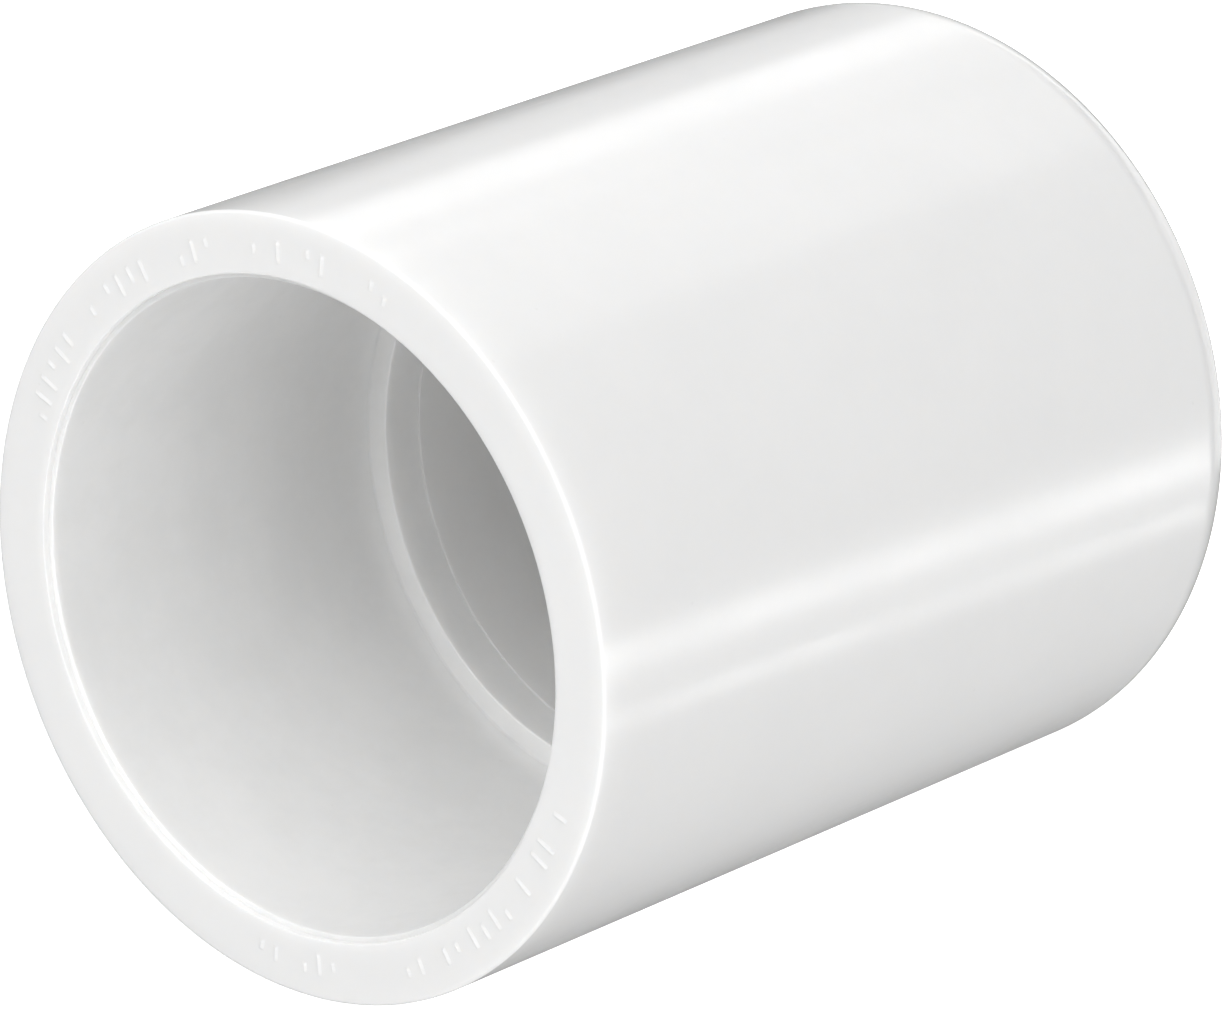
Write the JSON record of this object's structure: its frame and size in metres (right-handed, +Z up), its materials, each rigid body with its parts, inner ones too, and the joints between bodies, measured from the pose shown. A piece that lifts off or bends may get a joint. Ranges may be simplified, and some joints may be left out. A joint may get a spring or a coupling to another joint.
{
  "type": "pipe cap",
  "caption": "Slip cap that closes the end of a plastic pressure pipe, with a tapered solvent-weld socket, a stop shoulder and a rounded closed end.",
  "frame": {"origin": "centre of the socket's mouth, in the plane of the rim face", "axes": "+Y along the cap's axis from the open mouth to the closed end, +Z up with the cap lying on its side, +X to the right when looking into the mouth"},
  "size_m": [0.0406, 0.0508, 0.0406],
  "materials": {
    "pvc": "semi-gloss moulded rigid PVC"
  },
  "bodies": {
    "root": {"cap_body": "pvc"}
  },
  "joints": []
}
